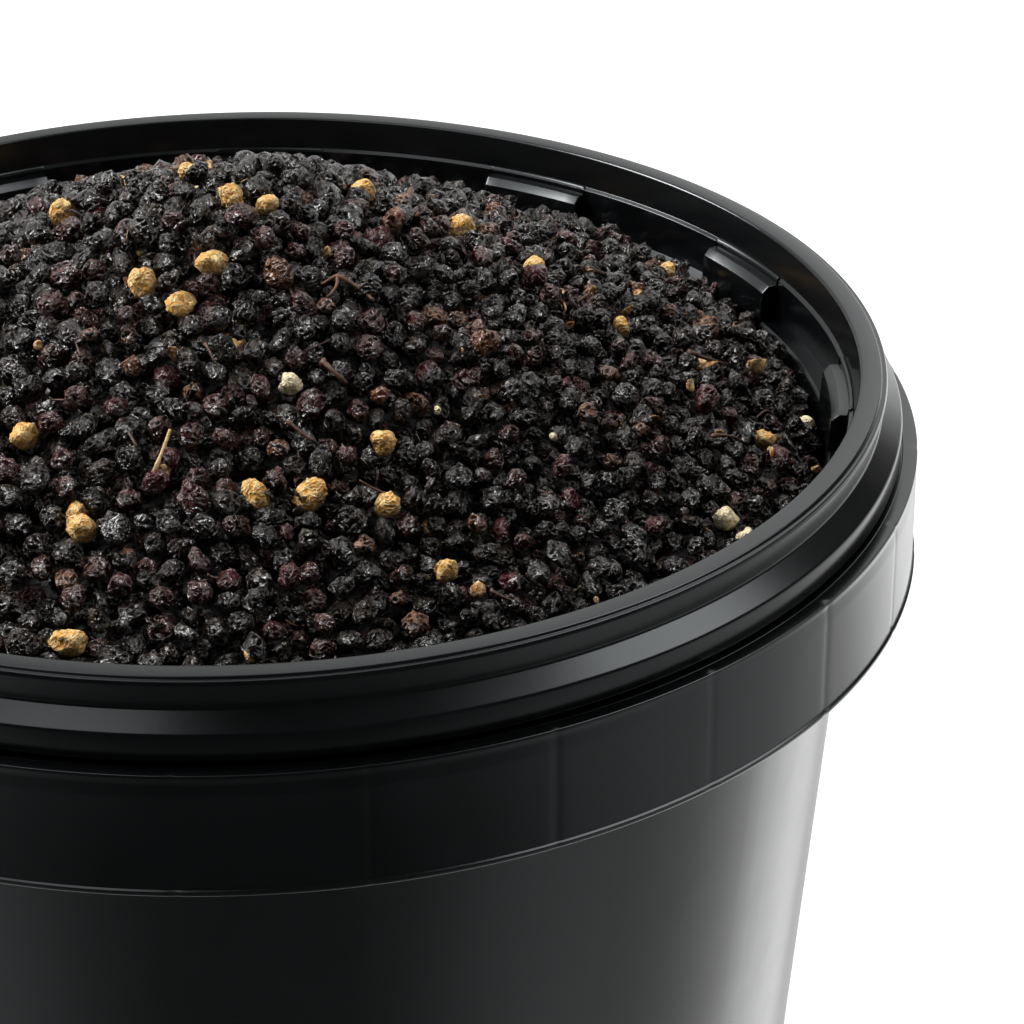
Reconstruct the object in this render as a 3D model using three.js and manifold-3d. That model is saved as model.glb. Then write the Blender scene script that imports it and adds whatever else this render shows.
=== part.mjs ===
// A round moulded pail, heaped with dried elderberries.
// Millimetres, +Z up, origin on the ground under the middle of the pail.
//
// pail          one moulding: floor, tapered wall, lid rim, hanging skirt, stacking ring and ribs
// elderberries  the heap: a cone of loose berries, standing out of the fill under them

import * as THREE from 'three';
import { mergeVertices } from 'three/addons/utils/BufferGeometryUtils.js';
import Module from 'manifold-3d';

const wasm = await Module();
wasm.setup();

// ---- driving dimensions ---------------------------------------------------------------------

const PAIL = {
  height: 170,          // ground to the top of the lip
  skirtRadius: 100,     // the widest part of the moulding
  bodyRadius: 91.06,    // outside of the wall, level with the skirt's lower edge
  taper: 0.0865,        // radius lost for each millimetre further down
  wall: 1.6,
  floor: 2.2,
  footWidth: 5,         // the ring that the pail stands on
  footHeight: 3,
  sides: 72,
};

const RIM = {
  lipInner: 91.2,       // the flat top of the lip lies between these two radii
  lipOuter: 94.4,
  neckRadius: 95.2,     // undercut band under the lip
  neckTop: 0.9,
  neckFoot: 94.5,
  neckDepth: 4.6,
  bandRadius: 97.6,     // second upright band, under the sloping shoulder
  shoulderDepth: 6.8,
  bandDepth: 10.4,
  grooveRadius: 96,
  skirtTop: 11.1,
  skirtBottom: 29,
  skirtWall: 1.5,
  bead: 0.35,           // how far the bead on the skirt's lower edge stands out
  ledgeRadius: 90.6,    // sloping ledge inside the lip
  ledgeDepth: 4.5,
  ledgeHeight: 0.9,
  boreRadius: 89.8,     // inside of the wall, just under that ledge
};

const RIBS = { count: 25, firstAngle: 5, width: 1.2, depth: 25 };

// The ring inside the rim that a nested pail rests on: tall blocks with low stretches between.
const STACKING = {
  blocks: 12,
  firstAngle: -4.6,     // direction of one tall block, in degrees from +X
  blockWidth: 11.2,     // degrees
  blockTop: 6,
  lowTop: 11.8,
  bottom: 30,
  inner: 87.3,          // radius inside the tall blocks' tops
  draft: 0.08,          // radius lost for each millimetre further down
  chamfer: 1,
  sides: 4,
};

const HEAP = {
  peak: 32.9,           // where the cone's straight sides would meet, above the lip
  slope: 0.476,         // the berries' angle of repose, 25 degrees
  rounding: 6.1,        // rounds off the peak
  sag: 7,               // how much lower the heap lies against one side of the pail
  sagAngle: -45,
  radius: 85.3,         // clear of the stacking ring
  clearance: 0.45,
};

const BERRIES = {
  rings: 12,            // ring k round the peak holds 6k berries, as closely packed circles do
  crown: 0.6,           // where a berry's top turns down, as a share of the way to its edge
  crownDrop: 1,
  hollow: 3.9,          // depth of the hollows between berries
  shift: 0.12,          // how far a berry lies off its place, as a share of the spacing
  lift: 0.5,            // how much higher or lower than its neighbours it may lie
};

// ---- helpers --------------------------------------------------------------------------------

const radians = THREE.MathUtils.degToRad;
const rimTop = PAIL.height;

// A repeatable draw between -1 and 1.
let seed = 20;
function draw() {
  seed = (seed * 16807) % 2147483647;
  return (2 * seed) / 2147483647 - 1;
}

// A closed geometry as a solid, its shared corners merged and its empty triangles dropped.
function toSolid(geometry) {
  const bare = geometry.clone();
  bare.deleteAttribute('normal');
  bare.deleteAttribute('uv');
  const merged = mergeVertices(bare);
  const corners = [...merged.index.array];
  const triVerts = [];
  for (let i = 0; i < corners.length; i += 3) {
    const [a, b, c] = corners.slice(i, i + 3);
    if (a !== b && b !== c && c !== a) triVerts.push(a, b, c);
  }
  return new wasm.Manifold(new wasm.Mesh({
    numProp: 3,
    vertProperties: new Float32Array(merged.attributes.position.array),
    triVerts: new Uint32Array(triVerts),
  }));
}

function toGeometry(solid) {
  const mesh = solid.getMesh();
  const geometry = new THREE.BufferGeometry();
  geometry.setAttribute('position', new THREE.BufferAttribute(mesh.vertProperties, 3));
  geometry.setIndex(new THREE.BufferAttribute(mesh.triVerts, 1));
  geometry.computeVertexNormals();
  return geometry;
}

// A surface of revolution about +Z; the outline runs [radius, height], outside first.
function turned(outline, sides) {
  const points = outline.map(([radius, height]) => new THREE.Vector2(radius, height));
  return new THREE.LatheGeometry(points, sides).rotateX(Math.PI / 2);
}

// Outside radius of the tapered wall at a depth below the lip.
function bodyRadius(depth) {
  return PAIL.bodyRadius - PAIL.taper * (depth - RIM.skirtBottom - 1);
}

// ---- pail -----------------------------------------------------------------------------------

// Half section of the moulding: under the floor, up the outside, over the lip, down the inside.
function pailOutline() {
  const base = bodyRadius(PAIL.height);
  const foot = base - PAIL.footWidth;
  const channelTop = RIM.skirtTop + 2;
  const skirtInner = PAIL.skirtRadius - RIM.skirtWall;
  const floorTop = PAIL.footHeight + PAIL.floor;
  const down = (radius, depth) => [radius, rimTop - depth];
  return [
    // floor panel and foot ring
    [0, PAIL.footHeight],
    [foot - 1, PAIL.footHeight],
    [foot, 0],
    [base - 1.2, 0],
    [base + 0.05, 1.2],
    // wall, then the channel behind the skirt
    down(bodyRadius(channelTop + 1), channelTop + 1),
    down(bodyRadius(channelTop) + 1, channelTop),
    down(skirtInner, channelTop),
    down(skirtInner, RIM.skirtBottom),
    // skirt and its bead
    down(PAIL.skirtRadius + RIM.bead * 0.5, RIM.skirtBottom),
    down(PAIL.skirtRadius + RIM.bead, RIM.skirtBottom - 0.5),
    down(PAIL.skirtRadius, RIM.skirtBottom - 1.3),
    down(PAIL.skirtRadius, RIM.skirtTop + 0.4),
    down(PAIL.skirtRadius - 0.4, RIM.skirtTop),
    // groove, lower band, shoulder, neck
    down(RIM.grooveRadius, RIM.skirtTop),
    down(RIM.grooveRadius, RIM.bandDepth + 0.1),
    down(RIM.bandRadius - 0.6, RIM.bandDepth - 0.1),
    down(RIM.bandRadius, RIM.bandDepth - 0.9),
    down(RIM.bandRadius, RIM.shoulderDepth + 0.3),
    down(RIM.bandRadius - 0.3, RIM.shoulderDepth),
    down(RIM.neckFoot, RIM.neckDepth),
    down(RIM.neckRadius, RIM.neckTop),
    down(RIM.neckRadius - 0.3, RIM.neckTop - 0.4),
    // lip
    down(RIM.lipOuter, 0),
    down(RIM.lipInner + 0.3, 0),
    down(RIM.lipInner, 0.3),
    // inside
    down(RIM.ledgeRadius, RIM.ledgeDepth),
    down(RIM.boreRadius, RIM.ledgeDepth + RIM.ledgeHeight),
    down(bodyRadius(STACKING.bottom) - PAIL.wall, STACKING.bottom),
    [base - PAIL.wall + PAIL.taper * (floorTop + 3), floorTop + 3],
    [base - PAIL.wall - 2.6, floorTop],
    [0, floorTop],
  ];
}

// Half section of the stacking ring, its back sunk in the wall.
function stackingOutline(top) {
  const { bottom, inner, draft, blockTop, chamfer } = STACKING;
  const outer = bodyRadius(bottom) - PAIL.wall * 0.4;
  const face = (depth) => [inner - draft * (depth - blockTop), rimTop - depth];
  const [edge] = face(top);
  return [
    [outer, rimTop - bottom],
    [outer, rimTop - top],
    [edge + chamfer, rimTop - top],
    face(top + chamfer),
    face(bottom),
    [outer, rimTop - bottom],
  ];
}

// The gap over one low stretch: part of a wide ring, from the low top upwards.
function stackingGap(angle) {
  const half = radians((360 / STACKING.blocks - STACKING.blockWidth) / 2);
  const shape = new THREE.Shape();
  shape.absarc(0, 0, PAIL.bodyRadius + 2, -half, half, false);
  shape.absarc(0, 0, STACKING.inner - 5, half, -half, true);
  const settings = {
    depth: STACKING.lowTop, bevelEnabled: false, curveSegments: STACKING.sides,
  };
  return new THREE.ExtrudeGeometry(shape, settings)
    .rotateZ(radians(angle))
    .translate(0, 0, rimTop - STACKING.lowTop);
}

// The low ring all round, and the tall blocks that are left of a second ring between the gaps.
function stackingRings() {
  const gaps = [];
  const step = 360 / STACKING.blocks;
  for (let i = 0; i < STACKING.blocks; i++) {
    gaps.push(toSolid(stackingGap(STACKING.firstAngle + (i + 0.5) * step)));
  }
  const tall = toSolid(turned(stackingOutline(STACKING.blockTop), PAIL.sides));
  const low = toSolid(turned(stackingOutline(STACKING.lowTop), PAIL.sides));
  return low.add(tall.subtract(wasm.Manifold.union(gaps)));
}

// A rib across the channel between the wall and the skirt.
function rib(angle) {
  const inner = bodyRadius(RIBS.depth) - PAIL.wall / 2;
  const outer = PAIL.skirtRadius - RIM.skirtWall / 2;
  const height = RIBS.depth - RIM.skirtTop - 1;
  return new THREE.BoxGeometry(outer - inner, RIBS.width, height)
    .translate((inner + outer) / 2, 0, rimTop - RIBS.depth + height / 2)
    .rotateZ(radians(angle));
}

function pailGeometry() {
  const details = [stackingRings()];
  const step = 360 / RIBS.count;
  for (let i = 0; i < RIBS.count; i++) details.push(toSolid(rib(RIBS.firstAngle + i * step)));
  return toGeometry(wasm.Manifold.union([toSolid(turned(pailOutline(), PAIL.sides)), ...details]));
}

// ---- elderberries ---------------------------------------------------------------------------

// Height of the heap's outer surface: a cone with a rounded peak, lower towards one side.
function heapTop(x, y) {
  const r = Math.hypot(x, y);
  const towardSag = (1 + Math.cos(Math.atan2(y, x) - radians(HEAP.sagAngle))) / 2;
  const sag = HEAP.sag * towardSag ** 3 * (r / HEAP.radius) ** 2;
  return rimTop + HEAP.peak - HEAP.slope * Math.hypot(r, HEAP.rounding) - sag;
}

// Point at (x, y) on the heap, moved square to its surface: outwards, or inwards if negative.
function heapPoint(x, y, outwards) {
  const e = 0.5;
  const slopeX = (heapTop(x + e, y) - heapTop(x - e, y)) / (2 * e);
  const slopeY = (heapTop(x, y + e) - heapTop(x, y - e)) / (2 * e);
  const normal = new THREE.Vector3(-slopeX, -slopeY, 1).normalize();
  return normal.multiplyScalar(outwards).add(new THREE.Vector3(x, y, heapTop(x, y)));
}

// Places of the berries, ring by ring, each with a list for the hollows round it.
function berryPlaces() {
  const spacing = HEAP.radius / (BERRIES.rings + 0.5);
  const rings = [];
  for (let k = 0; k <= BERRIES.rings; k++) {
    const ring = [];
    const count = Math.max(1, 6 * k);
    const shift = k < BERRIES.rings ? BERRIES.shift * spacing : 0;
    for (let j = 0; j < count; j++) {
      const angle = (2 * Math.PI * j) / count;
      const x = k * spacing * Math.cos(angle) + shift * draw();
      const y = k * spacing * Math.sin(angle) + shift * draw();
      ring.push({ x, y, hollows: [] });
    }
    rings.push(ring);
  }
  return rings;
}

// Groups of three berries that meet round one hollow, between ring k and the next one out.
function meetings(inner, outer) {
  const groups = [];
  const k = inner.length === 1 ? 0 : inner.length / 6;
  for (let sector = 0; sector < 6; sector++) {
    for (let i = 0; i <= k; i++) {
      const near = inner[(sector * k + i) % inner.length];
      const far = outer[sector * (k + 1) + i];
      const farNext = outer[(sector * (k + 1) + i + 1) % outer.length];
      groups.push([near, far, farNext]);
      if (i < k) groups.push([near, farNext, inner[(sector * k + i + 1) % inner.length]]);
    }
  }
  return groups;
}

// The heap in one body: a dome for each berry above, the fill in the shape of the pail below.
function elderberriesGeometry() {
  const positions = [];
  const triangles = [];
  const vertex = (x, y, z) => positions.push(x, y, z) / 3 - 1;
  const raised = (x, y, outwards) => vertex(...heapPoint(x, y, outwards).toArray());
  const places = berryPlaces();

  // hollows between berries
  const edge = HEAP.radius - HEAP.clearance;
  const hollow = (group, x, y, index = raised(x, y, -BERRIES.hollow)) => {
    for (const place of group) place.hollows.push({ index, x, y });
    return index;
  };
  for (let k = 0; k < BERRIES.rings; k++) {
    for (const group of meetings(places[k], places[k + 1])) {
      const x = (group[0].x + group[1].x + group[2].x) / 3;
      const y = (group[0].y + group[1].y + group[2].y) / 3;
      hollow(group, x, y);
    }
  }
  const outermost = places[BERRIES.rings];
  const sides = outermost.length;
  const around = (j) => (2 * Math.PI * (j + 0.5)) / sides;
  const rimLoop = outermost.map((place, j) => {
    const group = [place, outermost[(j + 1) % sides]];
    const x = edge * Math.cos(around(j));
    const y = edge * Math.sin(around(j));
    return hollow(group, x, y, vertex(x, y, heapTop(x, y) - BERRIES.hollow));
  });

  // domes: a crown round each berry's top, and from it down to the hollows
  for (const { x, y, hollows } of places.flat()) {
    const lift = BERRIES.lift * draw();
    const top = raised(x, y, lift);
    const round = hollows
      .map((corner) => ({ ...corner, angle: Math.atan2(corner.y - y, corner.x - x) }))
      .sort((one, other) => one.angle - other.angle);
    const crown = round.map((corner) => {
      const crownX = x + BERRIES.crown * (corner.x - x);
      const crownY = y + BERRIES.crown * (corner.y - y);
      return raised(crownX, crownY, lift - BERRIES.crownDrop);
    });
    for (let i = 0; i < round.length; i++) {
      const next = (i + 1) % round.length;
      triangles.push(top, crown[i], crown[next]);
      triangles.push(crown[i], round[i].index, round[next].index);
      triangles.push(crown[i], round[next].index, crown[next]);
    }
  }

  // sides and underside of the fill, a gap clear of the pail
  const floorTop = PAIL.footHeight + PAIL.floor + HEAP.clearance;
  const underRing = rimTop - STACKING.bottom - HEAP.clearance;
  const inside = (height) => bodyRadius(rimTop - height) - PAIL.wall - HEAP.clearance;
  const outline = [
    [edge, underRing],
    [inside(underRing), underRing],
    [inside(floorTop + 3.4), floorTop + 3.4],
    [inside(floorTop) - 3.2, floorTop],
  ];
  let upper = rimLoop;
  for (const [radius, height] of outline) {
    const lower = rimLoop.map((_, j) => (
      vertex(radius * Math.cos(around(j)), radius * Math.sin(around(j)), height)
    ));
    for (let j = 0; j < sides; j++) {
      const next = (j + 1) % sides;
      triangles.push(upper[j], lower[j], lower[next], upper[j], lower[next], upper[next]);
    }
    upper = lower;
  }
  const middle = vertex(0, 0, floorTop);
  for (let j = 0; j < sides; j++) triangles.push(middle, upper[(j + 1) % sides], upper[j]);

  const geometry = new THREE.BufferGeometry();
  geometry.setAttribute('position', new THREE.Float32BufferAttribute(positions, 3));
  geometry.setIndex(triangles);
  geometry.computeVertexNormals();
  return geometry;
}

// ---- assembly -------------------------------------------------------------------------------

function part(name, geometry, colour, roughness) {
  const material = new THREE.MeshStandardMaterial({ color: colour, roughness, metalness: 0 });
  const mesh = new THREE.Mesh(geometry, material);
  mesh.name = name;
  return mesh;
}

const filledPail = new THREE.Group();
filledPail.add(
  part('pail', pailGeometry(), '#16171a', 0.38),
  part('elderberries', elderberriesGeometry(), '#211c20', 0.6),
);

export default filledPail;
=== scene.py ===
"""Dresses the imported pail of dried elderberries: the moulding, the loose berries and the studio.

The file is laid out as an add-on and run as a script. Every form is a stack of rings worked out with
numpy. Lengths are metres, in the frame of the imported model: +Z up, the ground at 0, and the pail's
axis on Z.
"""

import functools

import bpy
import numpy as np
from bpy.props import FloatProperty, FloatVectorProperty, IntProperty, PointerProperty
from mathutils import Matrix, Vector


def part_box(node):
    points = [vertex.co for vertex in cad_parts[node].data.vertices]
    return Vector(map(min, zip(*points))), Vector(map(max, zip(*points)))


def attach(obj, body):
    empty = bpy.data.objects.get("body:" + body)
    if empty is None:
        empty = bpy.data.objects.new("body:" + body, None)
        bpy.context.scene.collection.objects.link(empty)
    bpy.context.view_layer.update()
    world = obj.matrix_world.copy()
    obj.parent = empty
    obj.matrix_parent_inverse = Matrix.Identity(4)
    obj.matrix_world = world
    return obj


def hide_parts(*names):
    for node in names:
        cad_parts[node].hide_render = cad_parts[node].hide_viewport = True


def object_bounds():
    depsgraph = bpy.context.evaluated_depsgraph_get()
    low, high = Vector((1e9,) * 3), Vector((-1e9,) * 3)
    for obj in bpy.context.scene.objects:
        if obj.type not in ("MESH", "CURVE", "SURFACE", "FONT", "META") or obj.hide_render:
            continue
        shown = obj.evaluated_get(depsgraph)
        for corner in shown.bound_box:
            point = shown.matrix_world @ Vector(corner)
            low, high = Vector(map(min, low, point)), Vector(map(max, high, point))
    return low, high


bl_info = {
    "name": "Pail of dried elderberries",
    "version": (1, 0, 0),
    "blender": (4, 5, 0),
    "location": "3D View > Sidebar > Elderberries",
    "description": "Makes a moulded pail heaped with loose dried elderberries, and a studio round it",
    "category": "Add Mesh",
}

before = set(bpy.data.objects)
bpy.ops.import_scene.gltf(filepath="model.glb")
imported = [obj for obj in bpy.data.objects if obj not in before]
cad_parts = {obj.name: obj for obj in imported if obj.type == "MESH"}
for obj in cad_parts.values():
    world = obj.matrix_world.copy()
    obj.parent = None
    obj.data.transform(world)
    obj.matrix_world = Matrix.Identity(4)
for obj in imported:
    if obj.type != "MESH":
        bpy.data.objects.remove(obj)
CAD_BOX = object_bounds()
PAIL_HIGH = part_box("pail")[1]

MM = 0.001
FRAME_SIDE = 1024       # width and height of the camera's frame, in pixels
SENSOR = 36.0           # width of the camera's sensor, in millimetres
SEED = 7
SHELL_SIDES = 264       # points round each form that is turned about the pail's axis
RING_SIDES = 180
FILL_SIDES = 72
SAG_RADIUS = 84.7 * MM  # where the heap has sunk by its whole sag
PACKED = 0.62           # share of the loose layer's space that its berries take
MOST_BERRIES = 12000    # berries drawn, of which the layer takes what it holds
MOST_IN_PIECE = 1200    # berries in one mesh
LOOSE_STALKS = 45       # bits of stalk and flakes that lie anywhere on the heap
PALE_FLAKES = 30
DARK_FLAKES = 420


def linear(tone):
    """sRGB hex colour as linear red, green and blue. A colour that is linear already stays as it is."""
    if not isinstance(tone, str):
        return tuple(tone)
    srgb = np.array([int(tone[i:i + 2], 16) for i in (1, 3, 5)]) / 255
    return tuple(np.where(srgb <= 0.04045, srgb / 12.92, ((srgb + 0.055) / 1.055) ** 2.4).tolist())


def number(name, description, default, **kind):
    return FloatProperty(name=name, description=description, default=default, **kind)


def length(name, description, default):
    return number(name, description, default, unit="LENGTH", precision=5)


def angle(name, description, default):
    return number(name, description, default, subtype="ANGLE")


def colour(name, description, default):
    return FloatVectorProperty(
        name=name, description=description, default=linear(default), subtype="COLOR", min=0, max=1)


# ---- settings ----


class PailSettings(bpy.types.PropertyGroup):
    """Sizes of the moulding; depths are measured down from the top of the lip."""

    height: length("Height", "Ground to the top of the lip", PAIL_HIGH.z)
    skirt_radius: length("Skirt radius", "Outside of the skirt", 0.100)
    body_radius: length("Body radius", "Outside of the wall just under the skirt", 0.09106)
    taper: number("Taper", "Radius lost per length of wall", 0.0865)
    wall: length("Wall", "Thickness of the wall", 0.0016)
    lip_inner: length("Lip, inside", "Inner radius of the lip", 0.0912)
    lip_outer: length("Lip, outside", "Outer radius of the lip's flat top", 0.0942)
    ledge_inner: length("Ledge, inside", "Inside of the wall under the fine ledge in the lip", 0.0898)
    ledge_depth: length("Ledge depth", "Depth of the fine ledge in the lip", 0.0053)
    band_radius: length("Band radius", "Outside of the band that a lid snaps under", 0.0976)
    skirt_top: length("Skirt top", "Depth of the skirt's upper edge", 0.0111)
    skirt_bottom: length("Skirt bottom", "Depth of the skirt's lower edge", 0.029)
    ribs: IntProperty(name="Ribs", description="Ribs behind the skirt", default=25, min=1)
    rib_angle: angle("Rib direction", "Direction of one rib", np.radians(5))
    blocks: IntProperty(name="Stacking blocks", description="Tall blocks on the stacking ring", default=12)
    block_angle: angle("Block direction", "Direction of one tall block", np.radians(-4.6))
    block_width: angle("Block width", "Stretch of the ring that a block takes", np.radians(11.2))
    block_top: length("Block top", "Depth of the tall blocks' tops", 0.006)
    ring_top: length("Ring top", "Depth of the stacking ring's top between the blocks", 0.0118)
    ring_bottom: length("Ring bottom", "Depth of the stacking ring's underside", 0.030)
    ring_inner: length("Ring, inside", "Radius inside the blocks' tops", 0.0873)
    draft: number("Draft", "Radius the ring's face loses per depth", 0.08)
    colour: colour("Plastic", "Colour of the moulding", "#060708")


class HeapSettings(bpy.types.PropertyGroup):
    """Form of the heap and colours of the berries; heights are measured up from the lip's top."""

    peak: length("Peak", "Where the straight sides of the cone would meet", 0.0323)
    slope: number("Slope", "Rise per length of the cone's side", 0.464)
    rounding: length("Rounding", "Rounds off the peak", 0.0061)
    sag: length("Sag", "How much lower the heap lies against one side", 0.007)
    sag_angle: angle("Sag direction", "Side that lies lower", -0.785)
    radius: length("Radius", "Inside of the pail at the heap's edge", 0.0896)
    layer: length("Layer", "Depth of the layer of loose berries", 0.0086)
    berry: length("Berry", "Mean radius of a dried berry", 0.00215)
    berry_spread: length("Spread", "Spread of the berries' radius", 0.00026)
    black: colour("Black berries", "Most of the berries", "#131214")
    maroon: colour("Maroon berries", "Berries that dried red", "#431420")
    rust: colour("Rusty berries", "Berries that dried brown", "#4e2a17")
    tan: colour("Tan berries", "Berries picked unripe", "#d59a4c")
    cream: colour("Cream berries", "The palest berries", "#f2dcab")


class StudioSettings(bpy.types.PropertyGroup):
    """Camera and light."""

    lens: number("Lens", "Focal length in millimetres", 135.1)
    distance: length("Distance", "From the pail's axis to the camera, along the ground", 0.50983)
    rise: length("Rise", "Height of the camera over the lip", 0.24094)
    yaw: angle("Yaw", "Turn of the camera to the right", 0.0796)
    pitch: angle("Pitch", "Tilt of the camera downwards", 0.4843)
    key: number("Left softbox", "Radiance", 24.0)
    spill: number("Left spill", "Radiance round the left softbox", 1.2)
    fill: number("Right softbox", "Radiance", 4.2)
    front: number("Front softbox", "Radiance", 0.7)


def settings():
    """The three groups of settings: of the pail, the heap and the studio."""
    scene = bpy.context.scene
    return scene.elderberry_pail, scene.elderberry_heap, scene.elderberry_studio


# ---- forms ----


def placed(name, data):
    """An object in the scene that holds the data."""
    thing = bpy.data.objects.new(name, data)
    bpy.context.collection.objects.link(thing)
    return thing


def new_piece(name, points, faces):
    """An object with a smooth shaded mesh."""
    mesh = bpy.data.meshes.new(name)
    mesh.from_pydata(points, [], faces)
    mesh.shade_smooth()
    return placed(name, mesh)


def unit(vectors):
    """Each vector at a length of one."""
    return vectors / np.linalg.norm(vectors, axis=-1, keepdims=True)


def evenly(count, start=0):
    """Angles spread evenly round the Z axis."""
    return start + 2 * np.pi * np.arange(count) / count


def on_axis(height):
    """The tip of one form, on the Z axis."""
    return np.array([[0, 0, height]])


def quads_between(rows, following, columns):
    """Four-sided faces between each row of points and the one that follows it. Rows are closed."""
    here, there = columns * rows[:, None], columns * following[:, None]
    side = np.arange(columns)
    after = (side + 1) % columns
    corners = np.broadcast_arrays(here + side, here + after, there + after, there + side)
    return np.stack(corners, axis=-1).reshape(-1, 4)


def inside_out(triangles):
    """Whether the faces point inwards: the sum of a . (b x c) over their corners is then negative."""
    return np.einsum("ij,ij->", triangles[:, 0], np.cross(triangles[:, 1], triangles[:, 2])) < 0


def around(radius, turn, height):
    """Points at a radius from the Z axis, turned round it, at a height."""
    return np.stack(np.broadcast_arrays(radius * np.cos(turn), radius * np.sin(turn), height), axis=-1)


def closed_mesh(name, low, rings, high, **attributes):
    """One mesh of closed forms that are all built alike.

    A form is a stack of rings between two tips. Neighbouring points of neighbouring rings make a
    four-sided face, and the first and last ring close onto the tips with triangles. rings has the
    shape (forms, rings, points, 3), and low and high hold a tip for each form. Attributes are numbers
    kept on the points, given for each form, for each point of a form, or for both.
    """
    forms, levels, sides = rings.shape[:3]
    each = levels * sides + 2
    points = np.concatenate([low[:, None], rings.reshape(forms, -1, 3), high[:, None]], axis=1)
    quads = quads_between(np.arange(levels - 1), np.arange(1, levels), sides) + 1
    side = np.arange(sides)
    after = (side + 1) % sides
    last = (levels - 1) * sides + 1
    tips = np.concatenate([np.stack([0 * side, after + 1, side + 1], axis=-1),
                           np.stack([0 * side + each - 1, side + last, after + last], axis=-1)])
    if inside_out(points[0][np.concatenate([quads[:, [0, 1, 2]], quads[:, [0, 2, 3]], tips])]):
        quads, tips = quads[:, ::-1], tips[:, ::-1]
    start = each * np.arange(forms)[:, None, None]
    faces = (quads + start).reshape(-1, 4).tolist() + (tips + start).reshape(-1, 3).tolist()
    piece = new_piece(name, points.reshape(-1, 3), faces)
    for key, numbers in attributes.items():
        values = np.broadcast_to(numbers, (forms, each)).astype(np.float32)
        piece.data.attributes.new(key, "FLOAT", "POINT").data.foreach_set("value", values.ravel())
    return piece


def closed_ring(name, rings):
    """One closed ring: rows of points that close on themselves both ways, all faces four-sided."""
    rows = np.arange(len(rings))
    quads = quads_between(rows, np.roll(rows, -1), rings.shape[1])
    points = rings.reshape(-1, 3)
    if inside_out(points[quads[:, :3]]):
        quads = quads[:, ::-1]
    return new_piece(name, points, quads.tolist())


def finish_piece(piece, material, node="elderberries"):
    """Gives a piece its material and its place in the frame."""
    piece.data.materials.append(material)
    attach(piece, "root")
    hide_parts(node)


def filleted(corners, steps=5):
    """Outline whose corners are turned into arcs.

    corners holds (radius, height, fillet). At a corner with a fillet, the arc touches both sides at
    fillet / tan(half the angle between them), and its centre lies on the line that halves the angle.
    """
    points = np.array([corner[:2] for corner in corners])
    outline = [points[0]]
    for before, point, after, fillet in zip(points, points[1:], points[2:], [c[2] for c in corners[1:]]):
        if fillet == 0:
            outline.append(point)
            continue
        sides = unit(before - point), unit(after - point)
        half = np.arccos(sides[0] @ sides[1]) / 2
        centre = point + unit(sides[0] + sides[1]) * fillet / np.sin(half)
        start, end = (point + side * fillet / np.tan(half) - centre for side in sides)
        turn = np.arccos(np.clip(start @ end / fillet ** 2, -1, 1))
        share = np.linspace(0, 1, steps)[:, None]
        arc = (np.sin((1 - share) * turn) * start + np.sin(share * turn) * end) / np.sin(turn)
        outline.extend(centre + arc)
    outline.append(points[-1])
    return np.array(outline)


def closed_section(corners, steps):
    """Outline that closes on itself, with its corners turned into arcs."""
    return filleted([*corners, corners[0], corners[1]], steps)[1:-1]


def turned(outline, angles):
    """Rings of a surface of revolution: each point of the outline carried round the Z axis."""
    return around(outline[:, :1], angles, outline[:, 1:])


def to_nearest(angles, others):
    """How far each angle is from the nearest of the others, round the circle."""
    return np.abs((angles[:, None] - others + np.pi) % (2 * np.pi) - np.pi).min(axis=1)


# ---- pail ----


def body_radius(pail, depth):
    """Outside radius of the tapered wall, a straight cone."""
    return pail.body_radius - pail.taper * (depth - pail.skirt_bottom - 1 * MM)


def inner_wall(pail, depth):
    """Inside radius between the ledge under the lip and the foot of the stacking ring."""
    top, bottom = pail.ledge_depth, pail.ring_bottom
    share = (depth - top) / (bottom - top)
    return (1 - share) * pail.ledge_inner + share * (body_radius(pail, bottom) - pail.wall)


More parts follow.
